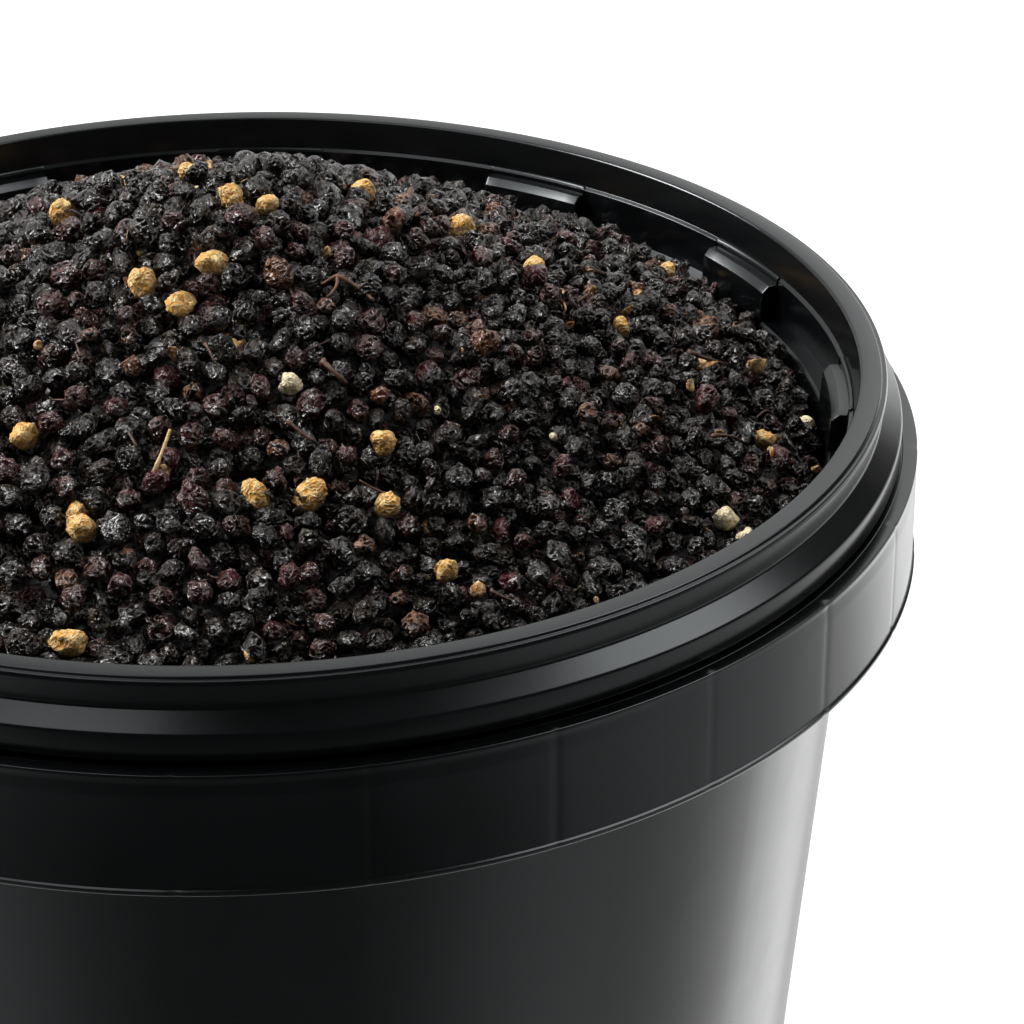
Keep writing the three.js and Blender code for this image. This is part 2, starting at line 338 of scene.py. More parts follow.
def pail_outline(pail):
    """Half section of the moulding, from under the floor over the lip to the floor's inside.

    Corners below the lip are placed by their depth, with their fillets in millimetres.
    """
    top = pail.height
    base = body_radius(pail, top)
    foot = base - 5 * MM
    floor = 5.2 * MM
    upper, lower = pail.skirt_top, pail.skirt_bottom
    channel = upper + 2 * MM
    skirt, skirt_wall, bead = pail.skirt_radius, 1.5 * MM, 0.35 * MM
    ridge = skirt - 2.1 * MM
    band = pail.band_radius
    groove = band - 1.6 * MM
    neck, undercut = pail.lip_outer + 1 * MM, 0.7 * MM
    ledge = pail.ledge_inner + 0.6 * MM

    def down(radius, depth, fillet):
        return radius, top - depth, fillet * MM

    return filleted([
        # under the floor
        (0, 2.5 * MM, 0),
        (2 * MM, 2.5 * MM, 0.2 * MM),
        (2.4 * MM, 3 * MM, 0.2 * MM),
        (foot - 1 * MM, 3 * MM, 0.8 * MM),
        (foot, 0, 0.5 * MM),
        (base, 0, 1.4 * MM),
        # the wall, the channel behind the skirt, and the skirt
        down(body_radius(pail, channel), channel, 1.2),
        down(skirt - skirt_wall, channel, 0.9),
        down(skirt - skirt_wall, lower, 0.3),
        down(skirt + bead, lower, 0.6),
        down(skirt + bead, lower - 0.9 * MM, 0.12),
        down(skirt, lower - 1.1 * MM, 0.1),
        down(skirt, upper + 3 * MM, 12),
        down(skirt - 0.12 * MM, upper + 1.1 * MM, 3),
        down(skirt, upper + 0.4 * MM, 0.3),
        down(skirt - 0.05 * MM, upper, 0.18),
        # a fine ridge on the skirt's top, then the groove under the band
        down(ridge + 0.12 * MM, upper + 0.06 * MM, 0.04),
        down(ridge, upper + 0.02 * MM, 0.04),
        down(ridge - 0.12 * MM, upper + 0.06 * MM, 0.04),
        down(groove, upper + 0.06 * MM, 0.1),
        down(groove, upper - 0.5 * MM, 0.1),
        # the band that a lid snaps under, its shoulder, the neck and the lip
        down(band, upper - 0.5 * MM, 0.55),
        down(band, 6.7 * MM, 0.7),
        down(neck - undercut, 4.5 * MM, 0.5),
        down(neck, 0.9 * MM, 0.2),
        down(neck - 0.2 * MM, 0.35 * MM, 0.2),
        down(neck - 0.7 * MM, 0.4 * MM, 0.15),
        down(pail.lip_outer, 0, 0.3),
        down(pail.lip_inner, 0, 0.5),
        # the fine ledge in the lip, the wall's inside and the floor
        down(ledge, pail.ledge_depth - 0.35 * MM, 0.15),
        down(pail.ledge_inner, pail.ledge_depth, 0.15),
        down(inner_wall(pail, pail.ring_bottom), pail.ring_bottom, 0),
        (base - pail.wall + pail.taper * floor, floor, 3 * MM),
        (0, floor, 0),
    ])


def make_shell(pail):
    """The moulding: its outline carried round the axis, sunk a little where a rib stands behind.

    Each rib draws the skirt in by a shallow valley, depth times exp(-(distance / width) squared).
    """
    depth, width = 0.06 * MM, 0.7 * MM
    ribs = evenly(pail.ribs, pail.rib_angle)
    valley = np.array([-2.4, -1.6, -1.1, -0.6, 0, 0.6, 1.1, 1.6, 2.4]) * width / pail.skirt_radius
    plain = evenly(SHELL_SIDES)
    clear = to_nearest(plain, ribs) > 1.2 * valley[-1]
    angles = np.sort(np.concatenate([plain[clear], (ribs[:, None] + valley).ravel() % (2 * np.pi)]))
    outline = pail_outline(pail)
    rings = turned(outline, angles)
    distance = to_nearest(angles, ribs) * pail.skirt_radius
    skirt = (outline[:, 0] > pail.skirt_radius - 0.2 * MM) & (outline[:, 1] < pail.height - pail.skirt_top)
    sunk = depth * np.exp(-(distance / width) ** 2) * skirt[:, None]
    rings[..., :2] *= 1 - (sunk / pail.skirt_radius)[..., None]
    return closed_mesh("pail_moulding", on_axis(outline[0, 1]), rings[None, 1:-1], on_axis(outline[-1, 1]))


def ring_blocks(name, angles, width, outline, fillet):
    """Blocks that are short stretches of a ring, with rounded edges.

    outline is the block's section as (radius, height, fillet) corners. It is carried along an arc, and
    shrinks towards its own middle by fillet * (1 - cos t) over the last fillet * sin t.
    """
    closed = closed_section(outline, steps=4)
    middle = closed.mean(axis=0)
    half = np.abs(closed - middle).max(axis=0)
    turn = np.linspace(0, np.pi / 2, 5)
    inset = fillet * (1 - np.cos(turn))
    reach = width / 2 - (fillet - fillet * np.sin(turn)) / middle[0]
    inset = np.concatenate([inset[::-1], np.zeros(7), inset])
    along = np.concatenate([-reach[::-1], reach[0] * np.linspace(-1, 1, 9)[1:-1], reach])
    section = middle + (closed - middle) * (1 - inset[:, None, None] / half)
    rings = around(section[..., 0], (angles[:, None] + along)[..., None], section[..., 1])
    return closed_mesh(name, rings[:, 0].mean(axis=1), rings, rings[:, -1].mean(axis=1))


def stacking_face(pail, depth):
    """Radius of the stacking ring's inner face, which leans in as it goes down."""
    return pail.ring_inner - pail.draft * (depth - pail.block_top)


def stacking_outline(pail, top, bottom, chamfer):
    """Section of the stacking ring.

    Its back is sunk in the wall, its top meets the wall in a small round, and its inner edge is
    chamfered.
    """
    back = body_radius(pail, pail.ring_bottom) - 0.4 * pail.wall
    wall = inner_wall(pail, top) + 0.05 * MM
    rise = 1.2 * MM
    return [
        (back, pail.height - bottom, 0.2 * MM),
        (back, pail.height - top + rise, 0.2 * MM),
        (wall, pail.height - top + rise, 0),
        (wall, pail.height - top, 0.1 * MM),
        (stacking_face(pail, top) + chamfer, pail.height - top, 0.1 * MM),
        (stacking_face(pail, top + chamfer), pail.height - top - chamfer, 0.1 * MM),
        (stacking_face(pail, bottom), pail.height - bottom, 0.4 * MM),
    ]


def make_stacking(pail):
    """The ring inside the rim that a stacked pail rests on, and the tall blocks that stand on it."""
    low = stacking_outline(pail, pail.ring_top, pail.ring_bottom, 0.4 * MM)
    ring = closed_ring("stacking_ring", turned(closed_section(low, steps=6), evenly(RING_SIDES)))
    angles = evenly(pail.blocks, pail.block_angle)
    tall = stacking_outline(pail, pail.block_top, pail.ring_top + 6 * MM, 1 * MM)
    return [ring, ring_blocks("stacking_blocks", angles, pail.block_width, tall, 0.25 * MM)]


def make_ribs(pail):
    """Ribs across the channel between the wall and the skirt."""
    angles = evenly(pail.ribs, pail.rib_angle)
    depth = 25 * MM
    inner = body_radius(pail, depth) - pail.wall / 2
    outer = pail.skirt_radius - 0.75 * MM
    low, high = pail.height - depth, pail.height - pail.skirt_top - 1 * MM
    soft = 0.25 * MM
    section = [(inner, low, soft), (outer, low, soft), (outer, high, soft), (inner, high, soft)]
    return ring_blocks("skirt_ribs", angles, 1.2 * MM / pail.body_radius, section, soft)


# ---- heap ----


def heap_top(x, y):
    """Height of the heap's surface: peak - slope * sqrt(r^2 + rounding^2), less the sag.

    The sag grows with the square of r, and with the cube of half of one plus the cosine of the angle
    from its direction.
    """
    pail, heap, _ = settings()
    r = np.hypot(x, y)
    toward = (1 + np.cos(np.arctan2(y, x) - heap.sag_angle)) / 2
    sag = heap.sag * toward ** 3 * (r / SAG_RADIUS) ** 2
    return pail.height + heap.peak - heap.slope * np.hypot(r, heap.rounding) - sag


def heap_normal(x, y):
    """Direction square to the heap's surface, from the height on either side of the point."""
    step = 0.5 * MM
    slope_x = (heap_top(x + step, y) - heap_top(x - step, y)) / (2 * step)
    slope_y = (heap_top(x, y + step) - heap_top(x, y - step)) / (2 * step)
    return unit(np.stack([-slope_x, -slope_y, np.ones_like(slope_x)], axis=-1))


def depth_in_heap(places):
    """Distance of each place under the heap's surface, and the surface's direction there."""
    normal = heap_normal(places[:, 0], places[:, 1])
    return (heap_top(places[:, 0], places[:, 1]) - places[:, 2]) * normal[:, 2], normal


def held_inside(places, radii, pail, heap):
    """Places moved towards the axis where the wall, the stacking ring or a block is in the way."""
    r = np.hypot(places[:, 0], places[:, 1])
    step = 2 * np.pi / pail.blocks
    turn = (np.arctan2(places[:, 1], places[:, 0]) - pail.block_angle) / step
    in_block = np.abs(turn - np.round(turn)) * step < pail.block_width / 2 + 1 * MM / pail.ring_inner
    low = pail.height - np.where(in_block, pail.block_top, pail.ring_top) + 0.6 * radii
    face = stacking_face(pail, pail.height - places[:, 2])
    limit = np.where(places[:, 2] < low, face, heap.radius) - radii
    places[:, :2] *= np.minimum(1, limit / np.maximum(r, 1e-6))[:, None]


def settle(places, radii, fixed, rounds, pull):
    """Presses loose berries together.

    Each round pushes every overlapping pair apart by 0.4 of the overlap each and draws all berries
    inwards by pull. It keeps them over the fill, inside the pail and under the heap's surface, some
    buried deeper than others. Berries marked as fixed stay where they are.
    """
    pail, heap, _ = settings()
    still = places[fixed].copy()
    buried = 1.2 + 0.8 * np.sin(7919 * radii / heap.berry)
    for step in range(rounds):
        if step % 10 == 0:
            square = (places ** 2).sum(axis=1)
            apart = square[:, None] + square - 2 * places @ places.T
            near = apart < (radii[:, None] + radii + 1.2 * MM) ** 2
            one, other = np.nonzero(np.triu(near, 1))
        between = places[one] - places[other]
        distance = np.sqrt((between ** 2).sum(axis=1)) + 1e-9
        overlap = np.maximum(radii[one] + radii[other] - distance, 0)
        push = between * (0.4 * overlap / distance)[:, None]
        for axis in range(3):
            places[:, axis] += np.bincount(one, push[:, axis], len(places))
            places[:, axis] -= np.bincount(other, push[:, axis], len(places))
        depth, normal = depth_in_heap(places)
        down = pull + 0.4 * np.maximum(buried * radii - depth, 0)
        down -= np.maximum(depth + radii - heap.layer, 0)
        places -= normal * down[:, None]
        places[:, 2] = np.minimum(places[:, 2], CAD_BOX[1][2] - 1.25 * radii)
        held_inside(places, radii, pail, heap)
        places[fixed] = still


def shrivelled(x, y):
    """How far the berries have shrivelled, from 0 to 1 towards one side of the heap."""
    return np.clip(0.5 + (x * 0.9 - y * 0.3) / settings()[1].radius, 0, 1) ** 2


def scattered(count, radius, draw):
    """Random places spread evenly over a disc."""
    r = radius * np.sqrt(draw.random(count))
    angle = 2 * np.pi * draw.random(count)
    return r * np.cos(angle), r * np.sin(angle)


@functools.cache
def settled_berries():
    """Places and radii of the loose berries, scattered through the heap's outer layer and settled."""
    _, heap, _ = settings()
    draw = np.random.default_rng(SEED)
    volume = PACKED * np.pi * heap.radius ** 2 * np.hypot(1, heap.slope) * heap.layer
    x, y = scattered(MOST_BERRIES, heap.radius, draw)
    size = 1.06 - 0.2 * shrivelled(x, y)
    smallest = 1.06 - 0.2
    radii = draw.normal(heap.berry, heap.berry_spread, MOST_BERRIES) * size
    # about one berry in eight stayed a fifth smaller than the rest
    radii *= np.where(draw.random(MOST_BERRIES) < 0.12, 0.8, 1)
    radii = np.clip(radii, 0.55 * heap.berry, 1.25 * heap.berry)
    # the smaller they have shrivelled, the more of them fill the same space
    kept = np.nonzero(draw.random(MOST_BERRIES) < (smallest / size) ** 3)[0]
    count = np.searchsorted(np.cumsum(4 / 3 * np.pi * radii[kept] ** 3), volume)
    x, y, radii = x[kept[:count]], y[kept[:count]], radii[kept[:count]]
    inwards = heap.berry + draw.random(count) * (heap.layer - 2 * heap.berry)
    places = np.stack([x, y, heap_top(x, y)], axis=-1) - heap_normal(x, y) * inwards[:, None]
    loose = np.zeros(count, dtype=bool)
    settle(places, radii, loose, rounds=180, pull=0.05 * MM)
    settle(places, radii, loose, rounds=40, pull=0.01 * MM)
    return places, radii


def camera_axes(studio):
    """The camera's place and its right, up and forward directions, as arrays."""
    place = np.array([0, -studio.distance, PAIL_HIGH.z + studio.rise])
    forward = np.array([np.sin(studio.yaw) * np.cos(studio.pitch),
                        np.cos(studio.yaw) * np.cos(studio.pitch), -np.sin(studio.pitch)])
    right = unit(np.cross(forward, [0, 0, 1]))
    return place, right, np.cross(right, forward), forward


# Where single berries are seen: across and down in the camera's frame, and their width, in pixels.
SEEN_AT = {
    "tan": [
        (231, 199, 34), (268, 205, 27), (212, 263, 34), (142, 283, 29), (182, 304, 32), (64, 213, 26),
        (25, 435, 34), (81, 528, 33), (254, 496, 34), (311, 494, 34), (381, 442, 33), (387, 505, 30),
        (68, 642, 35), (362, 191, 25), (461, 230, 30), (535, 270, 25), (765, 438, 25), (668, 270, 17),
        (623, 326, 21), (190, 171, 22), (447, 570, 25),
    ],
    "cream": [
        (288, 383, 26), (725, 517, 28), (745, 537, 20), (553, 437, 9), (805, 425, 20), (438, 411, 10),
    ],
    "rust": [
        (415, 628, 32), (68, 580, 29), (366, 545, 26), (610, 462, 20), (640, 290, 18), (590, 293, 18),
        (132, 366, 20), (398, 598, 20), (474, 330, 28),
    ],
    "maroon": [
        (346, 258, 31), (95, 270, 28), (126, 316, 29), (296, 360, 28), (215, 407, 29), (160, 430, 34),
        (367, 348, 29), (276, 478, 30), (310, 405, 34), (510, 582, 30), (655, 523, 30), (511, 435, 27),
        (345, 455, 28), (130, 500, 28), (225, 440, 31), (200, 560, 30), (325, 625, 30), (300, 230, 26),
    ],
}


def seen_on_heap(marks, studio, under=0.8):
    """Places of things that lie in the heap's surface where the marks are seen, and their radii.

    Each mark's ray is followed until it is under times the radius below the surface. A mark that
    misses the heap gets no place.
    """
    place, right, up, forward = camera_axes(studio)
    focal = studio.lens / SENSOR * FRAME_SIDE
    along = np.linspace(0.4, 0.72, 1601)[:, None]    # from the camera, past both ends of the heap
    found = []
    for across, down, width in marks:
        aim = (across - FRAME_SIDE / 2) * right - (down - FRAME_SIDE / 2) * up
        ray = place + along * (forward + aim / focal)
        radii = width / 2 * along[:, 0] / focal
        depth = depth_in_heap(ray)[0]
        inside = np.hypot(ray[:, 0], ray[:, 1]) < settings()[1].radius - radii
        reached = np.nonzero((depth > under * radii) & inside)[0]
        if len(reached):
            found.append((*ray[reached[0]], radii[reached[0]]))
    return np.array(found)


KINDS = ("black", "maroon", "rust", "tan", "cream")
SHARES = (0.76, 0.185, 0.04, 0.011, 0.004)    # of all loose berries


@functools.cache
def sorted_berries():
    """Places, radii, kinds and depths of the berries, with the marked ones where they are seen.

    A marked berry takes the place of the nearest loose one, and its neighbours then make room.
    """
    studio = settings()[2]
    places, radii = settled_berries()
    draw = np.random.default_rng(SEED + 1)
    depth, normal = depth_in_heap(places)
    kinds = draw.choice(len(KINDS), len(places), p=SHARES)
    # of the pale kinds, only the marked berries lie on top where the camera sees them
    toward_camera = (depth < 2 * radii) & (normal @ camera_axes(studio)[3] < -0.1)
    kinds[toward_camera & (kinds >= KINDS.index("tan"))] = KINDS.index("black")
    fixed = np.zeros(len(places), dtype=bool)
    for kind, marks in SEEN_AT.items():
        for *place, radius in seen_on_heap(marks, studio):
            berry = np.argmin(np.where(fixed, np.inf, np.linalg.norm(places - place, axis=1)))
            kinds[berry], places[berry], radii[berry] = KINDS.index(kind), place, radius
            fixed[berry] = True
    settle(places, radii, fixed, rounds=40, pull=0.02 * MM)
    return places, radii, kinds, depth_in_heap(places)[0]


def spun(count, draw):
    """Random turns as rotation matrices, from unit quaternions."""
    w, x, y, z = (q := draw.normal(size=(count, 4))).T / np.linalg.norm(q, axis=1)
    return np.stack([
        1 - 2 * (y * y + z * z), 2 * (x * y - w * z), 2 * (x * z + w * y),
        2 * (x * y + w * z), 1 - 2 * (x * x + z * z), 2 * (y * z - w * x),
        2 * (x * z - w * y), 2 * (y * z + w * x), 1 - 2 * (x * x + y * y)], axis=-1).reshape(count, 3, 3)


def berry_forms(places, radii, draw, sides, bands, cells, sunk, crushed, across=(0.92, 1.18),
                along=(0.72, 1.04), curl=0):
    """Shrunken berries: a sphere whose radius depends on the direction.

    Middles are scattered over the sphere, and each direction belongs to the nearest one. Cells sink
    between raised folds: radius = 1 - sunk * (1 - exp(-d / 0.12)), where d is how much nearer the
    cosine to the nearest middle is than that to the next. Three broad dents of
    crushed * exp(tightness * (cosine - 1)) and the dimple at the stalk's scar are taken off too. Each
    form is pressed along its own axes, curled by curl * x^2 / radius, and turned at random. The last
    value is the angle from the scar to each point.
    """
    count = len(places)
    latitude = np.pi * np.arange(1, bands) / bands
    sphere = around(np.sin(latitude)[:, None], evenly(sides), np.cos(latitude)[:, None])
    directions = np.concatenate([[[0, 0, 1]], sphere.reshape(-1, 3), [[0, 0, -1]]])
    from_scar = np.concatenate([[0], np.repeat(latitude, sides), [np.pi]])

    def cosines(number):
        return unit(draw.normal(size=(count, number, 3))) @ directions.T

    nearest = np.sort(cosines(cells), axis=1)[:, -2:]
    radius = 1 - sunk * (1 - np.exp(-(nearest[:, 1] - nearest[:, 0]) / 0.12))
    tightness = draw.uniform(2.5, 6, (count, 3, 1))
    dried = 1 + 1.5 * shrivelled(*places[:, :2].T)
    deep = draw.uniform(0, 1, (count, 3, 1)) * crushed * dried[:, None, None]
    radius -= (deep * np.exp(tightness * (cosines(3) - 1))).sum(axis=1)
    radius = np.maximum(radius - 0.1 * np.exp(14 * (directions[:, 2] - 1)), 0.4)
    pressed = np.concatenate([draw.uniform(*across, (count, 2)), draw.uniform(*along, (count, 1))], axis=1)
    local = directions * radius[..., None] * (pressed * 1.1 * radii[:, None])[:, None]
    local[..., 2] += curl * local[..., 0] ** 2 / radii[:, None]
    points = places[:, None] + local @ spun(count, draw).transpose(0, 2, 1)
    return points[:, 0], points[:, 1:-1].reshape(count, bands - 1, sides, 3), points[:, -1], from_scar


# Ends and width, in pixels, of stalks seen on the heap; then across, down and width of pale flakes.
STALKS_AT = [
    ((153, 474), (170, 430), 6), ((336, 276), (374, 301), 6), ((337, 277), (327, 297), 4),
    ((336, 276), (322, 284), 4), ((322, 361), (347, 384), 7), ((288, 421), (313, 441), 5),
    ((418, 214), (472, 219), 5), ((411, 190), (417, 216), 6), ((588, 268), (628, 276), 6),
    ((560, 301), (592, 291), 5), ((688, 352), (724, 364), 7), ((712, 436), (742, 441), 5),
    ((120, 420), (137, 447), 5), ((205, 344), (214, 362), 4), ((490, 590), (520, 603), 5),
]
FLAKES_AT = [
    (757, 367, 25), (706, 361, 24), (657, 418, 17), (720, 432, 18), (592, 295, 18), (128, 235, 14),
    (478, 590, 20), (352, 545, 18), (742, 541, 16), (250, 655, 16), (38, 345, 14), (597, 600, 14),
    (590, 272, 18), (558, 291, 15), (637, 292, 15), (569, 326, 16), (690, 385, 14), (624, 425, 10),
    (483, 396, 11), (462, 350, 13), (770, 452, 14),
]


def tangent(places, draw):
    """Random directions along the heap's surface."""
    return unit(np.cross(heap_normal(*places[:, :2].T), draw.normal(size=places.shape)))


def on_heap(count, draw):
    """Random places in the heap's surface."""
    x, y = scattered(count, 0.96 * settings()[1].radius, draw)
    return np.stack([x, y, heap_top(x, y) - draw.uniform(0.6, 2.2, count) * MM], axis=-1)


def stalk_forms(starts, ends, radii, draw, levels=9, sides=6):
    """Bent, knobbly stalks: each runs from start to end and bows aside by bow * 4 t (1 - t)."""
    along = ends - starts
    long = np.linalg.norm(along, axis=1, keepdims=True)
    along = along / long
    one = unit(np.cross(along, [0, 0.3, 1]))
    other = np.cross(along, one)
    t = np.linspace(0, 1, levels)
    bow = draw.normal(size=(len(starts), 2, 1)) * 0.07 * long[:, None]
    arch = 4 * t * (1 - t)
    spine = (starts[:, None] + (along * long)[:, None] * t[:, None]
             + one[:, None] * (bow[:, 0] * arch)[..., None]
             + other[:, None] * (bow[:, 1] * arch)[..., None])
    thick = radii[:, None] * (0.8 + 0.5 * np.exp(-((t - 0.04) / 0.08) ** 2) - 0.25 * t)
    thick = thick * draw.uniform(0.85, 1.2, thick.shape)
    turn = evenly(sides)[:, None]
    round_it = np.cos(turn) * one[:, None, None] + np.sin(turn) * other[:, None, None]
    rings = spine[:, :, None] + thick[..., None, None] * round_it
    return spine[:, 0], rings, spine[:, -1]


# ---- materials ----

COLOURS = {"data_type": "RGBA"}
SMOOTH = {"interpolation_type": "SMOOTHSTEP"}


def connect(node, inputs):
    """Links or sets a node's inputs, which are given by name or, in a tuple, in their order.

    So noise takes its place, scale, detail and roughness, and a range its value and its ends. A node
    given as a value stands for its first output. A colour is a hex value or linear channels.
    """
    if isinstance(inputs, dict):
        pairs = [(node.inputs[name], value) for name, value in inputs.items()]
    else:
        pairs = zip([socket for socket in node.inputs if socket.enabled], inputs)
    for socket, value in pairs:
        if isinstance(value, bpy.types.Node):
            value = next(output for output in value.outputs if output.enabled)
        if isinstance(value, bpy.types.NodeSocket):
            node.id_data.links.new(value, socket)
        else:
            socket.default_value = (*linear(value), 1) if socket.type == "RGBA" else value


def add_node(tree, kind, inputs=(), **options):
    """Adds a shader node with its options and inputs. kind may name the operation after the node."""
    kind, *operation = kind.split()
    node = tree.nodes.new("ShaderNode" + kind)
    if operation:
        node.operation = operation[0]
    for name, value in options.items():
        setattr(node, name, value)
    connect(node, inputs)
    return node


def with_stops(ramp, stops):
    """The colour ramp, with stops of (position, colour)."""
    elements = ramp.color_ramp.elements
    while len(elements) < len(stops):
        elements.new(0.5)
    for element, (position, tone) in zip(elements, stops):
        element.position = position
        element.color = (*linear(tone), 1)
    return ramp


def new_material(name):
    """A node material, what adds nodes to it, its shader, and the place of each point on the object."""
    material = bpy.data.materials.new(name)
    material.use_nodes = True
    tree = material.node_tree
    tree.nodes.clear()
    add = functools.partial(add_node, tree)
    shader = add("BsdfPrincipled")
    add("OutputMaterial", {"Surface": shader})
    return material, add, shader, add("TexCoord").outputs["Object"]


def scaled(tone, factor):
    """A lighter or darker colour."""
    return tuple(min(1, channel * factor) for channel in tone)


def polypropylene(pail):
    """Black polypropylene, injection moulded: satin, with the faint unevenness that a mould leaves."""
    material, add, shader, place = new_material("injection_moulded_polypropylene")
    # the mould's fine grain of 0.35 mm, and broad sinks of about 20 mm where the wall cooled
    grain = add("TexNoise", (place, 2.8 / MM, 3))
    sinks = add("TexNoise", (place, 0.05 / MM, 1))
    worn = add("TexNoise", (place, 0.12 / MM, 4))
    tone = with_stops(add("ValToRGB", (worn,)), [
        (0.3, scaled(pail.colour, 0.85)), (0.75, scaled(pail.colour, 1.25))])
    broad = add("Bump", {"Height": sinks, "Strength": 0.5, "Distance": 0.2 * MM})
    fine = add("Bump", {"Height": grain, "Strength": 0.06, "Distance": 0.03 * MM, "Normal": broad})
    connect(shader, {
        "Base Color": tone,
        "Roughness": add("MapRange", (worn, 0.3, 0.7, 0.19, 0.22)),
        "IOR": 1.5,
        "Specular Tint": (0.93, 0.98, 1),
        "Normal": fine,
    })
    return material


def dried_skin(name, tones, stain, ridge, pit_shade, rough, stained=0.3, shine=1.0, pit_shading=0.8,
               cell=0.95 * MM, relief=0.3 * MM, lean=2.0):
    """Skin of a berry that shrank as it dried: a net of sharp folds round sunken cells.

    tones are the skin's colours, spread over the berries by their attribute "shade". Stains cover
    part of the skin. The folds' crests are lightened to the ridge colour, partly wear and partly a
    painted highlight, and the cells are darkened to the pit colour, a painted shade. The stalk's scar
    is a smooth disc in a raised ring, found by the attribute "from_scar".
    """
    material, add, shader, place = new_material(name)
    wander = add("TexNoise", (place, 0.9 / cell, 3)).outputs["Color"]
    bent = add("VectorMath MULTIPLY_ADD", (wander, (cell, cell, cell), place))

    # ridges a little over a cell apart with finer ones between them, on facets that lean their own way
    height = add("TexNoise", {
        "Vector": place, "Scale": 1.15 / cell, "Detail": 2, "Roughness": 0.6, "Lacunarity": 2.2,
        "Offset": 0.9, "Gain": 1.4}, noise_type="RIDGED_MULTIFRACTAL")
    facet = add("TexVoronoi", {"Vector": bent, "Scale": 0.6 / cell})
    off = add("VectorMath SUBTRACT", (bent, facet.outputs["Position"]))
    tilt = add("VectorMath SUBTRACT", (facet.outputs["Color"], (0.5, 0.5, 0.5)))
    leaning = add("VectorMath DOT_PRODUCT", (off, tilt))

    from_scar = add("Attribute", attribute_name="from_scar").outputs["Fac"]
    disc = add("MapRange", (from_scar, 0.34, 0.22), **SMOOTH)
    from_ring = add("Math SUBTRACT", (from_scar, 0.27))
    from_ring = add("Math ABSOLUTE", (from_ring,))
    ring = add("MapRange", (from_ring, 0.08, 0), **SMOOTH)

    off_disc = add("Math SUBTRACT", (1, disc))
    total = add("Math MULTIPLY", (height, off_disc))
    total = add("Math MULTIPLY_ADD", (ring, 0.7, total))
    total = add("Math MULTIPLY", (total, relief))
    total = add("Math MULTIPLY_ADD", (leaning, lean, total))

    shade = add("Attribute", attribute_name="shade").outputs["Fac"]
    skin = with_stops(add("ValToRGB", (shade,)), [
        (k / (len(tones) - 1), tone) for k, tone in enumerate(tones)])
    blotch = add("TexNoise", (place, 0.55 / MM, 4, 0.6))
    worn = add("MapRange", (blotch, 0.62 - 0.3 * stained, 0.78 - 0.3 * stained), **SMOOTH)
    # painted shade: the cells between the folds darken towards the pit colour, by the given depth
    sunk = add("MapRange", (height, 0.22, 0.02, 0, pit_shading), **SMOOTH)
    # partly wear and partly a painted highlight: the crests lighten towards the ridge colour
    raised = add("MapRange", (height, 0.45, 1.25, 0, 0.8), **SMOOTH)
    scar = add("Math MULTIPLY", (disc, 0.5))
    for share, tone in ((worn, stain), (sunk, pit_shade), (raised, ridge), (scar, ridge)):
        skin = add("Mix", (share, skin, tone), **COLOURS)
    connect(shader, {
        "Base Color": skin,
        "Roughness": add("MapRange", (blotch, 0.35, 0.65, rough - 0.06, rough + 0.12), **SMOOTH),
        # the cells between the folds lie in their shade and mirror next to nothing
        "Specular IOR Level": add("MapRange", (height, 0.2, 0.75, 0.04, shine), **SMOOTH),
        "Normal": add("Bump", {"Height": total, "Strength": 1, "Distance": 1}),
    })
    return material


def dried_stalk():
    """Dried stalks: matt and rough, from dark brown to straw by the attribute "shade"."""
    material, add, shader, place = new_material("dried_elderberry_stalk")
    shade = add("Attribute", attribute_name="shade").outputs["Fac"]
    tone = with_stops(add("ValToRGB", (shade,)), [
        (0, "#241410"), (0.45, "#4d2c1d"), (0.7, "#6f4a2c"), (1, "#bd9c68")])
    grain = add("TexNoise", (place, 1.6 / MM, 4))
    stained = add("MapRange", (grain, 0.5, 0.7, 0, 0.6), **SMOOTH)
    connect(shader, {
        "Base Color": add("Mix", (stained, tone, "#23130d"), **COLOURS),
        "Roughness": 0.55,
        "Normal": add("Bump", {"Height": grain, "Strength": 1, "Distance": 0.15 * MM}),
    })
    return material


# ---- operators ----


class PailOperator(bpy.types.Operator):
    """Mould the pail: its shell, its stacking ring with the blocks, and its ribs."""

    bl_idname = "elderberry.pail"
    bl_label = "Pail"

    def execute(self, context):
        pail = settings()[0]
        plastic = polypropylene(pail)
        for piece in [make_shell(pail), *make_stacking(pail), make_ribs(pail)]:
            finish_piece(piece, plastic, "pail")
        return {"FINISHED"}


class FillOperator(bpy.types.Operator):
    """Make the berries deep in the pail as one body under the loose ones."""

    bl_idname = "elderberry.fill"
    bl_label = "Fill"

    def execute(self, context):
        pail, heap, _ = settings()
        floor = 5.6 * MM
        clear = 0.4 * MM        # between the body and the wall
        neck = 84.4 * MM        # the body's radius inside the stacking ring
        shoulder = 30.5 * MM    # depth under which it widens to the wall
        under = 7.2 * MM        # from the heap's surface to the body's top
        inside = body_radius(pail, shoulder) - pail.wall - clear
        low = body_radius(pail, pail.height) - pail.wall
        sides = [(low - 3 * MM, floor), (low, floor + 3.2 * MM), (inside, pail.height - shoulder),
                 (neck, pail.height - shoulder)]
        top = [(share * neck, pail.height) for share in (1, 0.8, 0.6, 0.4, 0.2, 0.08)]
        rings = turned(np.array(sides + top), evenly(FILL_SIDES))
        rings[len(sides):, :, 2] = heap_top(rings[len(sides):, :, 0], rings[len(sides):, :, 1]) - under
        piece = closed_mesh("elderberry_fill", on_axis(floor), rings[None],
                            on_axis(heap_top(0, 0) - under), shade=0.2, from_scar=1.0)
        dark = scaled(heap.black, 0.4)
        deep = dried_skin("berries_in_deep_shade", [dark, dark], dark, dark, dark, rough=0.8,
                          cell=3.5 * MM, relief=1 * MM)
        finish_piece(piece, deep)
        return {"FINISHED"}


